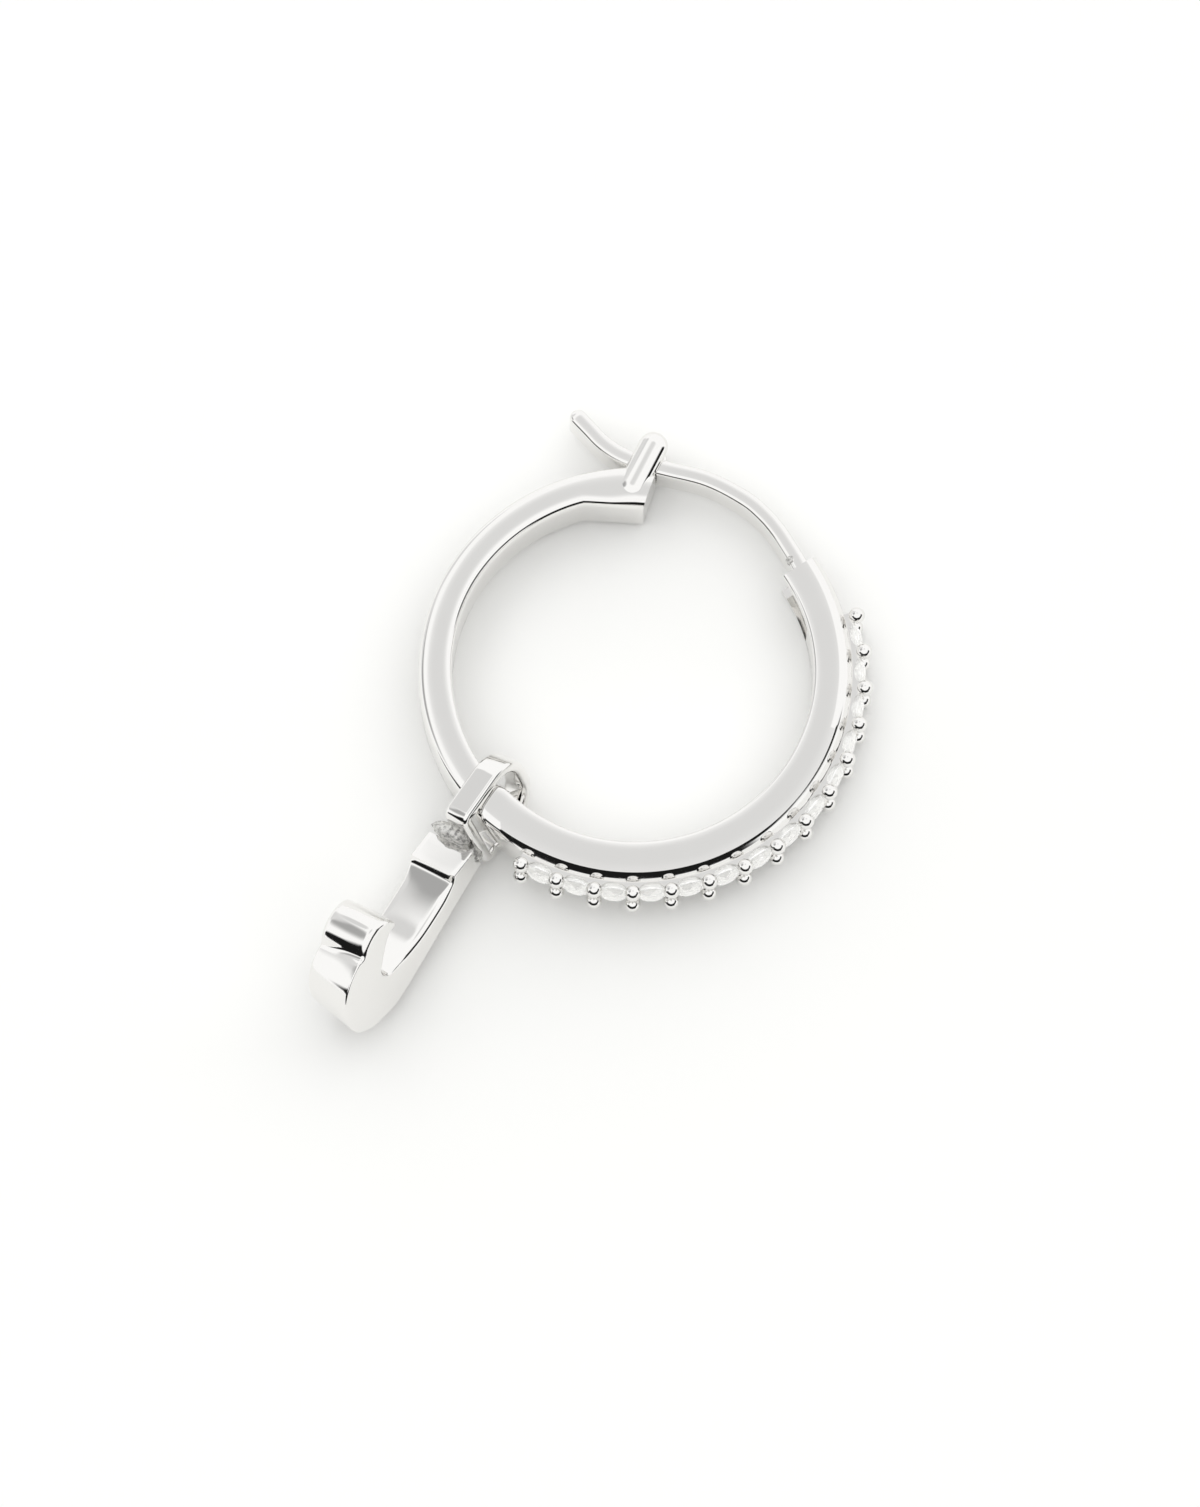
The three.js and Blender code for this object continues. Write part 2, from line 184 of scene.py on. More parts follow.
def spread(tree: Tree, source: Socket, first: Span, second: Span = (0.0, 1.0), soft: bool = False) -> Socket:
    """Carries a value from one span to another.

    Args:
        tree: The node tree that gets the node.
        source: The value.
        first: The span that it comes from, in either direction.
        second: The span that it is carried to and held within.
        soft: Whether it slows down towards both ends.

    Returns:
        The value carried over.
    """
    settings = {
        "interpolation_type": "SMOOTHSTEP" if soft else "LINEAR",
        "From Min": first[0],
        "From Max": first[1],
        "To Min": second[0],
        "To Max": second[1],
    }
    return add_node(tree, "ShaderNodeMapRange", settings, {"Value": source}).outputs["Result"]


def tone(tree: Tree, source: Socket, low: tuple[float, str], high: tuple[float, str]) -> Socket:
    """Colours a value from one colour at a low place to another at a high one."""
    ramp = add_node(tree, "ShaderNodeValToRGB", links={"Fac": source})
    for element, (position, colour) in zip(ramp.color_ramp.elements, (low, high)):
        element.position = position
        element.color = linear(colour)
    return ramp.outputs["Color"]


def bump(tree: Tree, source: Socket, strength: float, depth_mm: float) -> Socket:
    """Turns a value to a relief of some depth, and gives the bent normal."""
    settings = {"Strength": strength, "Distance": depth_mm * MM}
    return add_node(tree, "ShaderNodeBump", settings, {"Height": source}).outputs["Normal"]


@dataclass(frozen=True)
class PolishedSilver:
    """Sterling silver, buffed to a mirror: it shows its surroundings, a little blurred.

    Attributes:
        colour: The metal's own reflection colour.
        roughness: Lowest and highest blur.
        haze_mm: Size of the patches of blur that buffing leaves.
        haze_span: The part of the noise that the blur runs through.
        ripple_mm: Width of the slow ripple that hand buffing leaves in flat faces.
    """

    colour: str = "#EFEEEC"
    roughness: Span = (0.03, 0.1)
    haze_mm: float = 1.1
    haze_span: Span = (0.35, 0.65)
    ripple_mm: float = 2.6
    ripple_strength: float = 0.05
    ripple_depth_mm: float = 0.2

    def material(self) -> Material:
        """Builds the material."""
        made, tree = start_material("polished sterling silver")
        haze = grain(tree, self.haze_mm, detail=3.0, roughness=0.6)
        blur = spread(tree, haze, self.haze_span, self.roughness)
        ripple = grain(tree, self.ripple_mm, detail=1.0)
        relief = bump(tree, ripple, self.ripple_strength, self.ripple_depth_mm)
        values = {"Base Color": linear(self.colour), "Metallic": 1.0}
        return set_shader(made, values, {"Roughness": blur, "Normal": relief})


@dataclass(frozen=True)
class RoughSolder:
    """Silver solder left as it ran: pitted, with grey in its hollows and bright crests.

    Attributes:
        hollow: How far up the hollows go, and their colour.
        crest: Where the crests start, and their colour.
        grain_mm: Size of the pits.
        roughness: Blur of the hollows and of the crests.
    """

    hollow: tuple[float, str] = (0.38, "#9A9997")
    crest: tuple[float, str] = (0.56, "#ECEBE8")
    grain_mm: float = 0.16
    roughness: Span = (0.5, 0.22)
    pit_strength: float = 0.8
    pit_depth_mm: float = 0.1

    def material(self) -> Material:
        """Builds the material."""
        made, tree = start_material("rough silver solder")
        pits = grain(tree, self.grain_mm, detail=4.0, roughness=0.65)
        links = {
            "Base Color": tone(tree, pits, self.hollow, self.crest),
            "Roughness": spread(tree, pits, (0.0, 1.0), self.roughness),
            "Normal": bump(tree, pits, self.pit_strength, self.pit_depth_mm),
        }
        return set_shader(made, {"Metallic": 1.0}, links)


@dataclass(frozen=True)
class CutStone:
    """Cubic zirconia, cut and polished: clear, with hard bright and grey facets.

    Attributes:
        colour: The stone's faint own tint.
        shade: Its tint where it is a little darker.
        ior: Index of refraction.
        clear: How much light goes through it.
        glow: The light that its many inner reflections would bring back.
        veil_mm: Size of the patches of tint and blur.
    """

    colour: str = "#FCFCFB"
    shade: str = "#F3F3F1"
    ior: float = 2.16
    clear: float = 0.72
    glow: float = 0.17
    roughness: Span = (0.0, 0.03)
    veil_mm: float = 0.5

    def material(self) -> Material:
        """Builds the material."""
        made, tree = start_material("cut cubic zirconia")
        veil = grain(tree, self.veil_mm, detail=2.0)
        tint = tone(tree, veil, (0.0, self.shade), (1.0, self.colour))
        values = {
            "IOR": self.ior,
            "Transmission Weight": self.clear,
            "Emission Color": linear(self.colour),
            "Emission Strength": self.glow,
        }
        blur = spread(tree, veil, (0.0, 1.0), self.roughness)
        return set_shader(made, values, {"Base Color": tint, "Roughness": blur})


@dataclass(frozen=True)
class Finishes:
    """The finishes, made once and shared by the pieces."""

    silver: Material
    solder: Material
    stone: Material


# Helpers for shapes
def polar(angle: float, radius: float, height: float = 0.0) -> Vector:
    """A point of the hoop's own frame from an angle in degrees, a radius and a height."""
    turned = math.radians(angle)
    return Vector((radius * math.cos(turned), radius * math.sin(turned), height))


def arc(centre: Vector, start: float, turn: float, radius: float, steps: int) -> list[Vector]:
    """Points along an arc about a centre, with both ends, from an angle on through a turn in degrees."""
    return [centre + polar(start + turn * i / steps, radius) for i in range(steps + 1)]


def blend_table(table: Table, at: float) -> float:
    """Reads a table of rising places and values, with a straight line between its rows.

    Args:
        table: Rows of place and value, by rising place.
        at: The place to read.

    Returns:
        The value there, held beyond both ends.
    """
    if at <= table[0][0]:
        return table[0][1]
    for (low, first), (high, second) in zip(table, table[1:]):
        if at <= high:
            return first + (second - first) * (at - low) / (high - low)
    return table[-1][1]


def smooth_route(points: Sequence[Vector], steps: int) -> list[Vector]:
    """Runs a smooth curve through a few points.

    Args:
        points: The points to pass through.
        steps: How many stretches lie between two of them.

    Returns:
        The curve's points.
    """
    ends = [2 * points[0] - points[1], *points, 2 * points[-1] - points[-2]]
    route = []
    for a, b, c, d in zip(ends, ends[1:], ends[2:], ends[3:]):
        slope, bend, twist = c - a, 2 * a - 5 * b + 4 * c - d, 3 * b - a - 3 * c + d
        for i in range(steps):
            t = i / steps
            route.append(0.5 * (2 * b + slope * t + bend * t**2 + twist * t**3))
    return [*route, points[-1].copy()]


def flat_points(rows: Table) -> list[Vector]:
    """Turns rows of X and Y to points."""
    return [Vector((x, y, 0)) for x, y in rows]


def side_of(points: Sequence[Vector], before: int, after: int) -> Vector:
    """The direction to the right of the way from one point of a row to another."""
    ahead = points[after] - points[before]
    return Vector((ahead.y, -ahead.x, 0)).normalized()


def rounded_section(width: float, height: float, right: float, left: float, steps: int = 4) -> list[Vector]:
    """A rectangle with rounded corners, counterclockwise in X and Y.

    Args:
        width: Size along X.
        height: Size along Y.
        right: Radius of both corners on the side of rising X.
        left: Radius of both other corners.
        steps: Stretches in each corner.

    Returns:
        The outline's points.
    """
    points = []
    for side_x, side_y, start in ((1, -1, -90), (1, 1, 0), (-1, 1, 90), (-1, -1, 180)):
        corner = right if side_x > 0 else left
        centre = Vector((side_x * (width / 2 - corner), side_y * (height / 2 - corner), 0))
        points += arc(centre, start, 90, corner, steps)
    return points


def sweep(rings: Sequence[Sequence[Vector]]) -> Solid:
    """Draws a closed ring of points through a row of places and closes both ends.

    Args:
        rings: One ring of points for each place, all of one length.

    Returns:
        The closed mesh.
    """
    bm = bmesh.new()
    number = bm.verts.layers.int.new("ring_number")
    start = [bm.verts.new(point) for point in rings[0]]
    for i, vert in enumerate(start):
        vert[number] = i
    edges = list(bm.faces.new(start).edges)
    for ring in rings[1:]:
        made = bmesh.ops.extrude_edge_only(bm, edges=edges)["geom"]
        fresh = {g for g in made if isinstance(g, bmesh.types.BMVert)}
        edges = [g for g in made if isinstance(g, bmesh.types.BMEdge) and set(g.verts) <= fresh]
        for vert in fresh:
            vert.co = ring[vert[number]]
    ends = {vert for edge in edges for vert in edge.verts}
    bm.faces.new(sorted(ends, key=lambda vert: vert[number]))
    bmesh.ops.recalc_face_normals(bm, faces=bm.faces)
    return bm


def plate(outline: Sequence[Vector], low: float, high: float, edge: float = 0.0) -> Solid:
    """A flat outline pulled into a plate.

    Args:
        outline: The outline's points in X and Y, counterclockwise.
        low: Height of the lower face.
        high: Height of the upper face.
        edge: Size of the rounding on both rims.

    Returns:
        The closed mesh.
    """
    bm = bmesh.new()
    face = bm.faces.new([bm.verts.new((p.x, p.y, low)) for p in outline])
    made = bmesh.ops.extrude_face_region(bm, geom=[face])["geom"]
    raised = [g for g in made if isinstance(g, bmesh.types.BMVert)]
    bmesh.ops.translate(bm, verts=raised, vec=(0, 0, high - low))
    bmesh.ops.recalc_face_normals(bm, faces=bm.faces)
    if edge > 0:
        rims = [e for e in bm.edges if abs(e.verts[0].co.z - e.verts[1].co.z) < 1e-6]
        shape = {"segments": 3, "profile": 0.5, "material": -1, "clamp_overlap": True}
        bmesh.ops.bevel(bm, geom=rims, offset=edge, offset_type="OFFSET", affect="EDGES", **shape)
    return bm


def cushion(
    outline: Sequence[Vector], half: float, edge_at: Reader, crown_at: Reader, lean_at: Reader, steps: int = 6
) -> Solid:
    """A flat outline pulled into a solid whose rims are rounded and whose sides are crowned.

    Args:
        outline: The outline's points in X and Y, counterclockwise.
        half: Half of the solid's depth.
        edge_at: The radius of both rims at a point of the outline.
        crown_at: How much farther the side stands out in its middle, at a point.
        lean_at: How much farther in the side stands at its upper rim, at a point.
        steps: Stretches across each rim, and across each half of the side.

    Returns:
        The closed mesh.
    """
    count = len(outline)
    profile = [
        (point, side_of(outline, i - 1, (i + 1) % count), edge_at(point), crown_at(point), lean_at(point))
        for i, point in enumerate(outline)
    ]
    rings = []
    for i in range(-2 * steps, 2 * steps + 1):
        side = math.copysign(1, i)
        share = min(1.0, abs(i) / steps)
        turn = math.radians(90 * max(0, abs(i) - steps) / steps)
        ring = []
        for point, normal, edge, crown, lean in profile:
            height = share * (half - edge) + edge * math.sin(turn)
            inset = crown * share**2 + edge * (1 - math.cos(turn)) + lean * side * height / half / 2
            ring.append(point - normal * inset + Vector((0, 0, side * height)))
        rings.append(ring)
    return sweep(rings)


def add_object(name: str, data: Solid | bpy.types.ID) -> bpy.types.Object:
    """Adds an object to the scene.

    Args:
        name: Its name.
        data: Its data, or a mesh under work, which is freed.

    Returns:
        The object.
    """
    if isinstance(data, Solid):
        solid, data = data, bpy.data.meshes.new(name)
        solid.to_mesh(data)
        solid.free()
    made = bpy.data.objects.new(name, data)
    bpy.context.scene.collection.objects.link(made)
    return made


def join(into: Solid, *others: Solid) -> Solid:
    """Adds meshes to a mesh and frees them."""
    for other in others:
        held = bpy.data.meshes.new("held")
        other.to_mesh(held)
        into.from_mesh(held)
        bpy.data.meshes.remove(held)
        other.free()
    return into


def cut_away(bm: Solid, *cutters: Solid) -> Solid:
    """Cuts solids out of a solid and frees them all.

    Args:
        bm: The solid that is cut.
        cutters: What is cut out.

    Returns:
        The cut solid.
    """
    objects = [add_object(f"cut_{number}", solid) for number, solid in enumerate([bm, *cutters])]
    for cutter in objects[1:]:
        step = objects[0].modifiers.new(cutter.name, "BOOLEAN")
        step.operation = "DIFFERENCE"
        step.solver = "EXACT"
        step.object = cutter
    graph = bpy.context.evaluated_depsgraph_get()
    result = bmesh.new()
    result.from_mesh(objects[0].evaluated_get(graph).to_mesh())
    for holder in objects:
        mesh = holder.data
        bpy.data.objects.remove(holder)
        bpy.data.meshes.remove(mesh)
    return result


def solder_lump(centre: Vector, size: Vector, seed: float) -> Solid:
    """A lump of solder with an uneven skin.

    Args:
        centre: Its middle.
        size: Its half sizes along the axes.
        seed: Shifts the unevenness.

    Returns:
        The closed mesh.
    """
    lump = bmesh.new()
    bmesh.ops.create_icosphere(lump, subdivisions=4, radius=1)
    for vert in lump.verts:
        x, y, z = (count * c for count, c in zip(SOLDER_WAVES, vert.co))
        vert.co *= 1 + SOLDER_RISE * (math.sin(x + seed) * math.sin(y + 2 * seed) * math.sin(z))
        vert.co = Vector(c * s for c, s in zip(vert.co, size)) + centre
    return lump


@dataclass(frozen=True)
class Place:
    """Where a sub-assembly's own frame stands: its origin in millimetres and its rotation."""

    origin: Vector
    turn: Matrix

    def matrix(self) -> Matrix:
        """The transform from its millimetres to the model's metres."""
        return Matrix.Translation(self.origin * MM) @ self.turn.to_4x4() @ Matrix.Scale(MM, 4)


def mark_creases(bm: Solid, angle: float) -> None:
    """Shades the mesh smooth and keeps edges sharper than an angle in degrees hard."""
    for face in bm.faces:
        face.smooth = True
    for edge in bm.edges:
        edge.smooth = len(edge.link_faces) == 2 and edge.calc_face_angle(0.0) < math.radians(angle)


def make_piece(
    name: str,
    bm: Solid,
    place: Place,
    finish: Material,
    body: Body = Body.HOOP,
    replaced: Sequence[str] = (),
    crease: float = 32.0,
) -> bpy.types.Object:
    """Turns a mesh to a piece that rides on a body.

    Args:
        name: The piece's name.
        bm: Its mesh, in its sub-assembly's millimetres. It is freed.
        place: Where that sub-assembly stands.
        finish: Its material.
        body: What it rides on.
        replaced: The model's nodes that it stands for.
        crease: Edges sharper than this many degrees stay hard.

    Returns:
        The piece.
    """
    bmesh.ops.transform(bm, matrix=place.matrix(), verts=bm.verts)
    mark_creases(bm, crease)
    piece = add_object(name, bm)
    piece.data.materials.append(finish)
    weigh = piece.modifiers.new("even shading", "WEIGHTED_NORMAL")
    weigh.keep_sharp = True
    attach(piece, body.value)
    if replaced:
        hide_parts(*replaced)
    log.info("%s: %d faces", name, len(piece.data.polygons))
    return piece


# The hoop
@dataclass
class HoopBand:
    """The hoop's band with its fork catch and hinge, all sizes in millimetres and degrees.

    Angles run counterclockwise from the hoop's own X axis, seen from the near side, and the
    band goes from the fork's end round by the back and the front to the hinge's end.
    """

    depth: float = 1.9
    back_radii: Span = (6.3, 7.45)
    front_radii: Span = (6.17, 7.55)
    front_from: float = 222.6
    front_fade: float = 1.0
    edge: float = 0.13
    crown: float = 0.02
    station: float = 1.5
    # The fork's block: it grows inwards to its leaning end, which a throat cuts from outside
    fork_end: float = 86.8
    fork_lean: float = -16.0
    fork_inner: float = 6.0
    fork_from: float = 106.0
    fork_runs_past: float = 8.0
    throat_radius: float = 7.19
    throat_end: float = 91.0
    throat_fade: float = 0.5
    first_station: float = 2.7
    # The hinge: a slot for the wire's tail, and room for its knuckle
    hinge_end: float = 33.5
    slot_depth: float = 1.32
    slot_back: float = 14.4
    slot_wall: float = 0.3
    pin_angle: float = 29.0
    pin_radius: float = 6.9
    relief: float = 3.7
    cut_past: float = 6.0
    # The fork's two bars
    prong_width: float = 1.04
    prong_root: Span = (90.5, 6.8)
    prong_reach: float = 1.5
    prong_lean: float = -27.0
    prong_proud: float = 0.1
    prong_wall: float = 0.06
    prong_round: float = 0.95
    # Width of the bevel on the near outer edge by angle: the pavé front has the widest
    bevel_table: Table = (
        (130.0, 0.2), (200.0, 0.22), (226.0, 0.16), (245.0, 0.24), (290.0, 0.24), (325.0, 0.3),
        (352.0, 0.34), (372.0, 0.3), (393.5, 0.22),
    )
    bevel_slope: float = 1.19
    # How flat that bevel is by angle: zero is round
    flat_table: Table = ((205.0, 0.0), (240.0, 0.85), (320.0, 0.8), (350.0, 0.6))
    # Size of the rounding on the near inner edge by angle, and its share of that size across
    scoop_table: Table = ((90.0, 0.5), (97.5, 0.3), (150.0, 0.32), (190.0, 0.13))
    scoop_across: float = 0.55

    def place(self, frame: dict) -> Place:
        """Reads the hoop's place from the frame's latch hinge, whose pin has a known angle and radius."""
        joint = frame["joints"][0]
        axis = Vector(joint["axis"]).normalized()
        turn = Vector((0, 0, 1)).rotation_difference(axis).to_matrix()
        pin = Vector(joint["pos_m"]) / MM
        return Place(pin - turn @ polar(self.pin_angle, self.pin_radius), turn)

    def radii(self, angle: float) -> Span:
        """Inner and outer radius of the band at an angle from the fork to the hinge."""
        start, fade = self.front_from, self.front_fade
        step = blend_table(((start - fade, 0.0), (start + fade, 1.0)), angle)
        inner = self.back_radii[0] + step * (self.front_radii[0] - self.back_radii[0])
        outer = self.back_radii[1] + step * (self.front_radii[1] - self.back_radii[1])
        if angle < self.fork_from:
            start = polar(self.fork_from, self.back_radii[0])
            run = polar(self.fork_end - self.fork_runs_past, self.fork_inner) - start
            ray = polar(angle, 1)
            inner = (start.x * run.y - start.y * run.x) / (ray.x * run.y - ray.y * run.x)
            end, fade = self.throat_end, self.throat_fade
            outer = blend_table(((end - fade, self.throat_radius), (end + fade, outer)), angle)
        return inner, outer

    def corner(self, across: float, down: float, flat: float = 0.0, steps: int = 5) -> list[Span]:
        """One corner of the section, from the band's side to its face.

        Args:
            across: How far it takes from the face.
            down: How far it takes from the side.
            flat: Zero for a round corner, one for a straight bevel.
            steps: Stretches across it.

        Returns:
            Distances from the corner's own point, across and down.
        """
        points = []
        for i in range(steps + 1):
            t = i / steps
            turn = math.radians(90 * t)
            in_share, down_share = 1 - math.cos(turn), 1 - math.sin(turn)
            in_share += flat * (t - in_share)
            down_share += flat * (1 - t - down_share)
            points.append((across * in_share, down * down_share))
        return points

    def section(self, angle: float) -> list[Vector]:
        """The band's section at an angle, counterclockwise from its far outer corner."""
        inner, outer = self.radii(angle)
        half = self.depth / 2
        bevel = blend_table(self.bevel_table, angle)
        scoop = blend_table(self.scoop_table, angle)
        plain = self.corner(self.edge, self.edge)
        near_outer = self.corner(bevel, bevel * self.bevel_slope, blend_table(self.flat_table, angle))
        near_inner = self.corner(self.scoop_across * scoop + (1 - self.scoop_across) * self.edge, scoop)
        ring = [(outer - a, -half + d) for a, d in reversed(plain)]
        ring += [(outer - a, half - d) for a, d in near_outer]
        inside = inner + near_inner[-1][0]
        outside = outer - near_outer[-1][0]
        for share in (0.8, 0.6, 0.4, 0.2):
            ring.append((inside + share * (outside - inside), half + 4 * self.crown * share * (1 - share)))
        ring += [(inner + a, half - d) for a, d in reversed(near_inner)]
        ring += [(inner + a, -half + d) for a, d in plain]
        return [polar(angle, radius, height) for radius, height in ring]

    def leaning_end(self) -> list[Vector]:
        """The section at the fork, slid along the hoop onto the end's leaning plane."""
        along = polar(self.fork_end + 90, 1)
        normal = polar(self.fork_end + self.fork_lean - 90, 1)
        corner = polar(self.fork_end, self.fork_inner)
        ring = []
        for point in self.section(self.fork_end):
            slide = (corner - point).xy.dot(normal.xy) / along.xy.dot(normal.xy)
            ring.append(point + along * slide)
        return ring

    def hinge_cut(self, inner: float, outer: float, start: float) -> Solid:
        """A sector that the hinge takes from the band, between two radii, from an angle to past its end."""
        end = self.hinge_end + self.cut_past
        count = max(3, round((end - start) / 2))
        angles = [start + (end - start) * i / count for i in range(count + 1)]
        outline = [polar(a, outer) for a in angles] + [polar(a, inner) for a in reversed(angles)]
        return plate(outline, -self.slot_depth / 2, self.slot_depth / 2)

    def prong(self, low: float, high: float, domed: bool) -> Solid:
        """One bar of the fork, with round ends, between two heights; a domed one has a round top."""
        root = polar(*self.prong_root)
        along = polar(self.prong_root[0] + self.prong_lean, 1)
        reach = self.back_radii[1] + self.prong_reach - self.prong_root[1] - self.prong_width / 2
        tip = root + along * reach
        heading = math.degrees(math.atan2(along.y, along.x))
        radius = self.prong_width / 2
        outline = arc(tip, heading - 90, 180, radius, 12) + arc(root, heading + 90, 180, radius, 12)
        if not domed:
            return plate(outline, low, high, self.edge)
        rings = [[point + Vector((0, 0, low)) for point in outline]]
        foot = low + self.prong_wall
        for i in range(10):
            turn = math.radians(10 * i)
            inset = self.prong_round * radius * (1 - math.cos(turn))
            height = foot + (high - foot) * math.sin(turn)
            ring = []
            for point in outline:
                axis = tip if (point - tip).dot(along) > -1e-6 else root
                ring.append(point + (axis - point).normalized() * inset + Vector((0, 0, height)))
            rings.append(ring)
        return sweep(rings)

    def build(self, place: Place, finishes: Finishes) -> None:
        """Makes the band and its fork bars."""
        start, end = self.fork_end + self.first_station, self.hinge_end + 360
        count = round((end - start) / self.station)
        angles = [start + (end - start) * i / count for i in range(count + 1)]
        band = sweep([self.leaning_end(), *[self.section(angle) for angle in angles]])
        inner, outer = self.front_radii
        slot = self.hinge_cut(inner - 1, outer - self.slot_wall, self.slot_back)
        knuckle_room = self.hinge_cut(self.pin_radius, outer + 1, self.pin_angle - self.relief)
        band = cut_away(band, slot, knuckle_room)
        make_piece("band_metal", band, place, finishes.silver, replaced=["hoop_band"])
        half = self.depth / 2
        fork = self.prong(self.slot_depth / 2, half + self.prong_proud, True)
        join(fork, self.prong(-half, -self.slot_depth / 2, False))
        make_piece("fork_bars", fork, place, finishes.silver)


@dataclass
class Gallery:
    """The pavé gallery along the band's outer side, with its beads, in millimetres and degrees."""

    count: int = 14
    first: float = -119.2
    last: float = 14.9
    root_radius: float = 7.35
    bead_radius: float = 7.97
    bead_size: float = 0.57
    bead_span: float = 1.34
    post_width: float = 0.34
    post_sink: float = 0.1
    notch_floor: float = 7.58
    notch_power: float = 0.7
    plate_faces: Span = (0.46, 0.6)

    def pitch(self) -> float:
        """The angle from one bead to the next."""
        return (self.last - self.first) / self.count

    def half_post(self) -> float:
        """The angle that half a post takes."""
        return math.degrees(self.post_width / 2 / self.bead_radius)

    def bead_angles(self) -> list[float]:
        """The beads' angles."""
        return [self.first + i * self.pitch() for i in range(self.count + 1)]

    def rim(self) -> list[Vector]:
        """The plate's outer rim: a round notch for each stone between the posts."""
        half_notch = self.pitch() / 2 - self.half_post()
        points = [polar(self.first - self.half_post(), self.bead_radius)]
        for angle in self.bead_angles()[:-1]:
            centre = angle + self.pitch() / 2
            points.append(polar(angle, self.bead_radius))
            for i in range(13):
                turn = math.radians(180 * i / 12)
                fall = (self.bead_radius - self.notch_floor) * math.sin(turn) ** self.notch_power
                points.append(polar(centre - half_notch * math.cos(turn), self.bead_radius - fall))
        return [*points, polar(self.last + self.half_post(), self.bead_radius)]

    def build(self, place: Place, finishes: Finishes) -> None:
        """Makes both side plates, the posts between the stones and the beads."""
        rim = self.rim()
        feet = [polar(math.degrees(math.atan2(p.y, p.x)), self.root_radius) for p in reversed(rim)]
        near, far = self.plate_faces
        plates = join(plate(rim + feet, near, far), plate(rim + feet, -far, -near))
        side = self.half_post()
        top = self.bead_radius - self.post_sink
        for angle in self.bead_angles():
            corners = ((-side, self.root_radius), (side, self.root_radius), (side, top), (-side, top))
            join(plates, plate([polar(angle + a, r) for a, r in corners], -near, near))
        make_piece("gallery_metal", plates, place, finishes.silver)
        beads = bmesh.new()
        for angle in self.bead_angles():
            for side_z in (-1, 1):
                centre = polar(angle, self.bead_radius, side_z * self.bead_span / 2)
                size = {"radius": self.bead_size / 2, "matrix": Matrix.Translation(centre)}
                bmesh.ops.create_uvsphere(beads, u_segments=20, v_segments=12, **size)
        make_piece("gallery_beads", beads, place, finishes.silver, crease=80)


@dataclass
class PaveStones:
    """The row of round brilliants between the gallery's beads, in millimetres."""

    row: Gallery
    diameter: float = 1.14
    girdle_radius: float = 7.75
    girdle: float = 0.05
    crown: float = 0.2
    pavilion: float = 0.44
    table: float = 0.58
    # Shares of the radius and of the height at which the facets' corners lie
    star: Span = (0.82, 0.58)
    lower_star: Span = (0.52, 0.56)
    twist: float = 37.0

    def brilliant(self) -> Solid:
        """One stone with its table along Z and its girdle's foot at the origin."""
        radius = self.diameter / 2
        half_facet = 360 / 16
        # Number of corners, turn in degrees, share of the radius, height
        rings = (
            (8, 0.0, self.table, self.girdle + self.crown),
            (8, half_facet, self.star[0], self.girdle + self.star[1] * self.crown),
            (16, 0.0, 1.0, self.girdle),
            (16, 0.0, 1.0, 0.0),
            (8, half_facet, self.lower_star[0], -self.lower_star[1] * self.pavilion),
        )
        stone = bmesh.new()
        for count, turn, share, height in rings:
            for i in range(count):
                stone.verts.new(polar(turn + 360 * i / count, share * radius, height))
        stone.verts.new((0, 0, -self.pavilion))
        bmesh.ops.convex_hull(stone, input=stone.verts)
        bmesh.ops.dissolve_limit(stone, angle_limit=math.radians(1), verts=stone.verts, edges=stone.edges)
        return stone

    def build(self, place: Place, finishes: Finishes) -> None:
        """Makes all stones, each with its table outwards and turned a little differently."""
        stones = bmesh.new()
        for number in range(self.row.count):
            angle = self.row.first + (number + 0.5) * self.row.pitch()
            stone = self.brilliant()
            turn = Matrix.Rotation(math.radians(angle), 4, "Z") @ Matrix.Rotation(math.radians(90), 4, "Y")
            twist = Matrix.Rotation(math.radians(self.twist * number), 4, "Z")
            shift = Matrix.Translation(polar(angle, self.girdle_radius))
            bmesh.ops.transform(stone, matrix=shift @ turn @ twist, verts=stone.verts)
            join(stones, stone)
        names = [f"stone_{number + 1:02d}" for number in range(self.row.count)]
        piece = make_piece("pave_stones", stones, place, finishes.stone, replaced=names, crease=2)


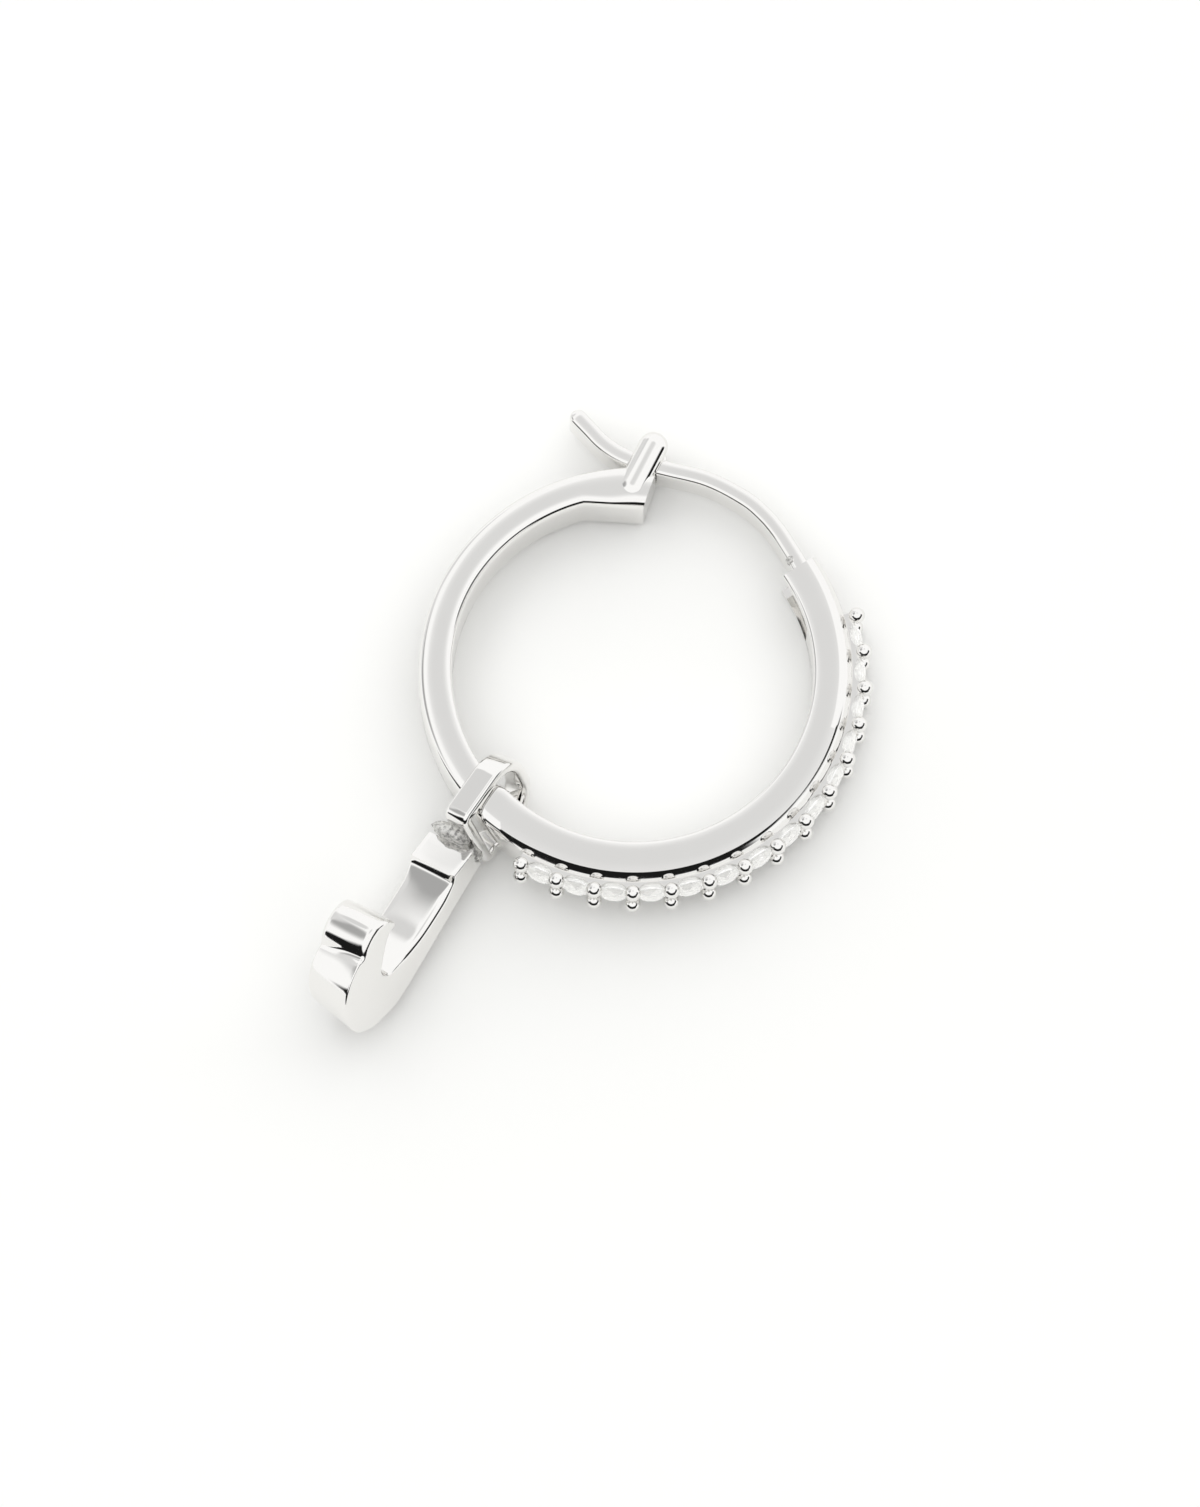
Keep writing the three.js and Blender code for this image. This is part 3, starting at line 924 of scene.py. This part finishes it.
@dataclass
class LatchWire:
    """The ear wire that turns about the hinge pin and clips into the fork."""

    across: float = 0.6
    depth: float = 1.24
    edge: float = 0.14
    pin_radius: float = 6.9
    # Angle in degrees, and distance of the wire's middle line beyond the pin's radius in mm
    route_table: Table = (
        (15.4, -0.07), (22.0, -0.07), (29.0, 0.0), (35.6, 0.09), (41.0, 0.19), (46.0, 0.32),
        (52.0, 0.46), (59.0, 0.57), (70.0, 0.65), (81.0, 0.67), (87.0, 0.79), (91.4, 1.0),
        (94.8, 1.28), (97.7, 1.7), (99.9, 2.22), (101.7, 2.7),
    )
    # The wire's rounded tip: its smallest share of the width, and how much of the depth it keeps
    tip_share: float = 0.12
    tip_keeps: float = 0.75
    # A spot of solder beside the hinge: angle, radius and height, then half sizes and seed
    spot_at: Triple = (37.2, 6.84, 0.5)
    spot_size: Triple = (0.17, 0.2, 0.15)
    spot_seed: float = 2.3

    def build(self, place: Place, finishes: Finishes) -> None:
        """Makes the wire with its rounded tip, and the solder beside its hinge."""
        points = [polar(angle, self.pin_radius + beyond) for angle, beyond in self.route_table]
        route = smooth_route(points, 7)
        run_out = (route[-1] - route[-2]).normalized()
        sizes = [1.0] * len(route)
        for i in range(1, 7):
            turn = math.radians(15 * i)
            route.append(points[-1] + run_out * (self.across / 2) * math.sin(turn))
            sizes.append(max(self.tip_share, math.cos(turn)))
        rings = []
        section = rounded_section(self.across, self.depth, self.edge, self.edge)
        for i, (point, size) in enumerate(zip(route, sizes)):
            outward = side_of(route, max(i - 1, 0), min(i + 1, len(route) - 1))
            flatten = 1 - (1 - self.tip_keeps) * (1 - size)
            rings.append([point + outward * (s.x * size) + Vector((0, 0, s.y * flatten)) for s in section])
        make_piece("latch_metal", sweep(rings), place, finishes.silver, Body.LATCH, ["latch_wire"])
        spot = solder_lump(polar(*self.spot_at), Vector(self.spot_size), self.spot_seed)
        make_piece("hinge_solder", spot, place, finishes.solder, Body.LATCH, crease=60)


# The charm
@dataclass
class HookCharm:
    """The curled hook and its bail, in millimetres: X down its stem, Y from its back edge."""

    # Its place: origin, heading, slope down to its far end, and lean to its back in degrees
    origin: Triple = (-3.4218, -3.1585, 1.6081)
    heading: float = 239.7
    slope: float = 3.459
    lean: float = 18.9
    depth: float = 1.95
    stem_start: float = 1.56
    back: float = -0.8
    middle: float = 0.49
    bail_inner: Span = (2.42, 2.34)
    bail_wall: float = 0.41
    bail_width: float = 0.95
    bail_edge: float = 0.15
    bail_corner: float = 1.3
    bail_foot: float = 0.42
    bail_turn: float = 9.0
    # The stem's top, the height that it has there, and places along its back
    stem_top: float = 0.3
    top_height: float = 1.0
    back_places: tuple[float, ...] = (1.6, 2.9, 4.1)
    # The head, from the shoulder up
    head_side: Table = ((1.36, 1.28), (1.1, 1.21), (0.7, 1.11))
    # The inner side of the stem and the hook, from the shoulder round the notch to the tip
    inner_side: Table = (
        (1.52, 1.13), (1.68, 1.07), (2.2, 1.02), (2.9, 1.04), (3.7, 1.12), (4.4, 1.3), (4.95, 1.5),
        (5.36, 1.66), (5.54, 1.92), (5.47, 2.22), (5.2, 2.46), (4.8, 2.7), (4.45, 2.88),
    )
    # The tip, from its inner corner over its dome to the crease below it
    tip_side: Table = (
        (4.14, 2.98), (3.97, 3.06), (3.93, 3.24), (4.02, 3.54), (4.22, 3.83), (4.52, 4.02),
        (4.85, 4.08), (5.16, 4.02), (5.44, 3.89), (5.68, 3.71),
    )
    # The outer side, from the crease round the bend to the back
    outer_side: Table = (
        (5.77, 3.68), (6.15, 3.62), (6.58, 3.49), (6.97, 3.25), (7.28, 2.86), (7.5, 2.4),
        (7.58, 1.9), (7.5, 1.4), (7.26, 0.9), (6.88, 0.5), (6.4, 0.2), (5.85, 0.05), (5.3, 0.0),
    )
    # Where the tip, the bend and the inner side start
    tip_from: float = 2.95
    bend_from: float = 6.9
    inner_from: float = 0.9
    # Radius of the rims by X: on the tip and the outer side, on the inner side, and elsewhere
    tip_edges: Table = ((3.95, 0.07), (4.3, 0.24), (4.8, 0.28), (5.5, 0.2), (6.1, 0.07))
    inner_edges: Table = ((1.5, 0.1), (2.2, 0.3), (4.6, 0.28), (5.3, 0.12))
    back_edge: float = 0.16
    tip_crown: float = 0.025
    side_crown: float = 0.015
    # How far the outer side falls back by X, and the share of it by Y
    lean_by_x: Table = ((5.62, 0.0), (5.85, 0.36))
    lean_by_y: Table = ((0.5, 0.0), (1.4, 1.0))
    # Two lumps of solder, each with its middle counted from the stem's top, half sizes and seed
    lumps: tuple[tuple[Vector, Vector, float], ...] = (
        (Vector((-0.26, 0.36, 0.56)), Vector((0.3, 0.38, 0.76)), 0.4),
        (Vector((-0.02, -0.3, -0.3)), Vector((0.34, 0.4, 0.24)), 1.7),
    )

    def place(self) -> Place:
        """The charm's place."""
        turn = (
            Euler((0, 0, math.radians(self.heading))).to_matrix()
            @ Euler((0, math.radians(self.slope), 0)).to_matrix()
            @ Euler((math.radians(90 + self.lean), 0, 0)).to_matrix()
        )
        return Place(Vector(self.origin), turn)

    def outline(self) -> list[Vector]:
        """The hook's outline, counterclockwise."""
        tip = smooth_route(flat_points((*self.inner_side, *self.tip_side)), 4)
        outer = smooth_route(flat_points(self.outer_side), 4)
        head = flat_points((*self.head_side, (self.stem_top, self.top_height), (self.stem_top, 0.0)))
        back = [Vector((x, 0, 0)) for x in self.back_places]
        return [*head, *back, *reversed(outer), *reversed(tip)]

    def edge_at(self, point: Vector) -> float:
        """The radius of the rims: wide at the tip's dome, narrow round the bend."""
        if point.y > self.tip_from or point.x > self.bend_from:
            return blend_table(self.tip_edges, point.x)
        if point.y > self.inner_from:
            return blend_table(self.inner_edges, point.x)
        return self.back_edge

    def crown_at(self, point: Vector) -> float:
        """How far the side bulges: most on the tip's dome."""
        return self.tip_crown if point.y > self.tip_from else self.side_crown

    def lean_at(self, point: Vector) -> float:
        """How much the outer side falls back towards its far rim below the dome."""
        return blend_table(self.lean_by_x, point.x) * blend_table(self.lean_by_y, point.y)

    def hook(self) -> Solid:
        """The hook: its outline pulled to its depth, with its edges polished off at the tip."""
        hook = cushion(self.outline(), self.depth / 2, self.edge_at, self.crown_at, self.lean_at)
        bmesh.ops.translate(hook, verts=hook.verts, vec=(self.stem_start, self.back, self.middle))
        return hook

    def bail(self) -> Solid:
        """The bail: a flat band bent to a link with one straight and one rounder end."""
        half_wall = self.bail_wall / 2
        width, height = (inner + self.bail_wall for inner in self.bail_inner)
        line = rounded_section(width, height, self.bail_foot - half_wall, self.bail_corner - half_wall, 12)
        section = rounded_section(self.bail_wall, self.bail_width, self.bail_edge, self.bail_edge)
        rings = []
        for i, point in enumerate(line):
            outward = side_of(line, i - 1, (i + 1) % len(line))
            rings.append([point + outward * s.x + Vector((0, 0, s.y)) for s in section])
        bail = sweep([*rings, rings[0]])
        caps = [face for face in bail.faces if len(face.verts) == len(section)]
        bmesh.ops.delete(bail, geom=caps, context="FACES_ONLY")
        bmesh.ops.remove_doubles(bail, verts=bail.verts, dist=1e-4)
        bmesh.ops.recalc_face_normals(bail, faces=bail.faces)
        turn = Matrix.Rotation(math.radians(self.bail_turn), 3, "Z")
        bmesh.ops.rotate(bail, verts=bail.verts, cent=(0, 0, 0), matrix=turn)
        return bail

    def build(self, finishes: Finishes) -> None:
        """Makes the hook, the bail and the solder between them."""
        place = self.place()
        make_piece("hook_metal", self.hook(), place, finishes.silver, replaced=["hook_charm"], crease=40)
        make_piece("bail_metal", self.bail(), place, finishes.silver)
        top = Vector((self.stem_start + self.stem_top, 0, 0))
        solder, seam = (solder_lump(top + centre, size, seed) for centre, size, seed in self.lumps)
        make_piece("bail_solder", join(solder, seam), place, finishes.solder, crease=60)


# Surroundings
@dataclass(frozen=True)
class Opening:
    """A low dark opening of the light tent, given in parts of a direction.

    Attributes:
        toward: The direction of its middle along X and Y.
        narrow: The least share of a direction that points to that side.
        heights: The lowest and the highest rise of a direction inside it.
        side_fade: How far its two sides fade on either side; its foot and its head have their own.
        level: Its brightness.
    """

    toward: Span
    narrow: float
    heights: Span
    side_fade: float = 0.06
    foot_fade: float = 0.02
    head_fade: float = 0.07
    level: float = 0.012


@dataclass(frozen=True)
class Patch:
    """A dimmer patch of the tent's cloth.

    Attributes:
        toward: The direction of its middle.
        level: Its brightness.
        reach: Cosines of the angles from its middle at which it starts and is full.
    """

    toward: Triple
    level: float
    reach: Span


class TentLight:
    """The light that comes from each direction of the tent, built up from its bright cloth."""

    def __init__(self, tree: Tree, cloth: float) -> None:
        """Empties the world's node tree and starts with cloth of one brightness all round."""
        tree.nodes.clear()
        self.tree = tree
        self.direction = add_node(tree, "ShaderNodeTexCoord").outputs["Generated"]
        self.rise = add_node(tree, "ShaderNodeSeparateXYZ", links={"Vector": self.direction}).outputs["Z"]
        white = add_node(tree, "ShaderNodeRGB")
        white.outputs["Color"].default_value = (cloth, cloth, cloth, 1)
        self.shade = white.outputs["Color"]

    def toward(self, middle: Vector, reach: Span) -> Socket:
        """A soft mask by the cosine between the direction and a middle."""
        settings = {"operation": "DOT_PRODUCT", 1: middle}
        cosine = add_node(self.tree, "ShaderNodeVectorMath", settings, {0: self.direction}).outputs["Value"]
        return spread(self.tree, cosine, reach, soft=True)

    def lay(self, mask: Socket, level: float) -> None:
        """Lays a grey level over the shade where a mask is one."""
        settings = {"data_type": "RGBA", 7: (level, level, level, 1)}
        self.shade = add_node(self.tree, "ShaderNodeMix", settings, {0: mask, 6: self.shade}).outputs[2]

    def add_patch(self, patch: Patch) -> None:
        """Dims a round patch of the cloth."""
        self.lay(self.toward(Vector(patch.toward).normalized(), patch.reach), patch.level)

    def add_opening(self, opening: Opening) -> None:
        """Cuts a low dark opening."""
        low, high = opening.heights
        sides = (opening.narrow - opening.side_fade, opening.narrow + opening.side_fade)
        mask = self.toward(Vector((*opening.toward, 0.0)), sides)
        foot = (low - opening.foot_fade, low + opening.foot_fade)
        head = (high + opening.head_fade, high - opening.head_fade)
        for span in (foot, head):
            factor = spread(self.tree, self.rise, span, soft=True)
            product = add_node(self.tree, "ShaderNodeMath", {"operation": "MULTIPLY"}, {0: mask, 1: factor})
            mask = product.outputs[0]
        self.lay(mask, opening.level)

    def finish(self, room_share: float) -> None:
        """Sends the light out.

        Args:
            room_share: How much more of it matte surfaces get than the metal shows.
        """
        rays = add_node(self.tree, "ShaderNodeLightPath").outputs["Is Diffuse Ray"]
        strength = spread(self.tree, rays, (0.0, 1.0), (1.0, room_share))
        light = add_node(self.tree, "ShaderNodeBackground", links={"Color": self.shade, "Strength": strength})
        out = add_node(self.tree, "ShaderNodeOutputWorld")
        self.tree.links.new(light.outputs["Background"], out.inputs["Surface"])


@dataclass
class Studio:
    """A white light tent over a pale floor, dark beyond its low openings, sizes in metres."""

    floor_colour: str = "#FBFBF9"
    floor_size: float = 2.0
    floor_roughness: float = 0.9
    floor_shine: float = 0.1
    cloth: float = 1.1
    room_share: float = 1.16
    box_size: Span = (0.5, 0.4)
    box_energy: float = 0.4
    box_place: Triple = (-0.35, 0.25, 0.6)
    patches: tuple[Patch, ...] = (
        Patch((0.04, 0.33, 0.94), 0.8, (0.97, 0.9995)),
        Patch((-0.7, 0.27, 0.66), 0.44, (0.92, 0.99)),
        Patch((-0.41, 0.68, 0.61), 0.76, (0.984, 0.997)),
        Patch((-0.72, 0.58, 0.37), 0.8, (0.93, 0.98)),
    )
    openings: tuple[Opening, ...] = (
        Opening((-0.1, -0.99), 0.62, (0.03, 0.58)),
        Opening((0.2, -0.98), 0.07, (0.2, 0.58)),
        Opening((-0.83, -0.56), 0.885, (0.06, 0.4), side_fade=0.02),
    )

    def floor(self) -> None:
        """Lays the pale floor, a sheet of matte card."""
        bm = bmesh.new()
        bmesh.ops.create_grid(bm, x_segments=1, y_segments=1, size=self.floor_size)
        sheet = add_object("pale_floor", bm)
        card, _ = start_material("matte white card")
        values = {"Roughness": self.floor_roughness, "Specular IOR Level": self.floor_shine}
        values["Base Color"] = linear(self.floor_colour)
        sheet.data.materials.append(set_shader(card, values))

    def tent(self) -> None:
        """Builds the tent's light: bright cloth with dimmer patches and dark low openings."""
        world = bpy.data.worlds.new("light tent")
        bpy.context.scene.world = world
        world.use_nodes = True
        light = TentLight(world.node_tree, self.cloth)
        for patch in self.patches:
            light.add_patch(patch)
        for opening in self.openings:
            light.add_opening(opening)
        light.finish(self.room_share)

    def soft_box(self) -> None:
        """Hangs a wide soft light over the left of the earring, for its soft shadow."""
        lamp = bpy.data.lights.new("soft box", "AREA")
        lamp.shape = "RECTANGLE"
        lamp.size, lamp.size_y = self.box_size
        lamp.energy = self.box_energy
        box = add_object("soft box", lamp)
        box.visible_glossy = False
        box.location = self.box_place
        box.rotation_euler = (-box.location).to_track_quat("-Z", "Y").to_euler()

    def build(self) -> None:
        """Builds the floor and the light."""
        self.floor()
        self.tent()
        self.soft_box()


@dataclass
class PhotoCamera:
    """The camera at the photograph's angle, framed on the hoop's near face.

    Attributes:
        azimuth: Its direction round the earring, like its elevation and roll in degrees.
        distance: How far it stands from its target in millimetres.
        offset: How far the target stands right of and above the picture's middle, in millimetres.
        sensor: Height of the picture on the sensor in millimetres, like the focal length.
        clip: Nearest and farthest distance that it sees, in metres.
    """

    azimuth: float = -83.34
    elevation: float = 74.38
    roll: float = -6.94
    distance: float = 206.7
    offset: Span = (1.188, 2.918)
    lens: float = 143.33
    sensor: float = 36.0
    clip: Span = (0.002, 10.0)

    def build(self, target: Vector) -> None:
        """Places the camera.

        Args:
            target: The middle of the hoop's near face in millimetres.
        """
        lens = bpy.data.cameras.new("camera")
        lens.lens = self.lens
        lens.sensor_fit = "VERTICAL"
        lens.sensor_height = self.sensor
        lens.clip_start, lens.clip_end = self.clip
        camera = add_object("camera", lens)
        bpy.context.scene.camera = camera
        elevation = math.radians(self.elevation)
        back = polar(self.azimuth, math.cos(elevation), math.sin(elevation))
        turn = back.to_track_quat("Z", "Y").to_matrix() @ Matrix.Rotation(math.radians(self.roll), 3, "Z")
        right, up = turn.col[0], turn.col[1]
        place = target - right * self.offset[0] - up * self.offset[1] + back * self.distance
        camera.matrix_world = Matrix.Translation(place * MM) @ turn.to_4x4()


def main() -> None:
    """Builds the earring, its surroundings and the camera."""
    logging.basicConfig(level=logging.INFO, format="%(name)s: %(message)s")
    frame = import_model()
    finishes = Finishes(PolishedSilver().material(), RoughSolder().material(), CutStone().material())
    band = HoopBand()
    gallery = Gallery()
    hoop = band.place(frame)
    band.build(hoop, finishes)
    gallery.build(hoop, finishes)
    PaveStones(gallery).build(hoop, finishes)
    LatchWire().build(hoop, finishes)
    HookCharm().build(finishes)
    pin = frame["nodes"]["hinge_pin"]
    pin.data.materials.clear()
    pin.data.materials.append(finishes.silver)
    Studio().build()
    PhotoCamera().build(hoop.origin + hoop.turn @ Vector((0, 0, band.depth / 2)))
    bpy.context.scene.view_settings.view_transform = "Standard"


if __name__ == "__main__":
    main()
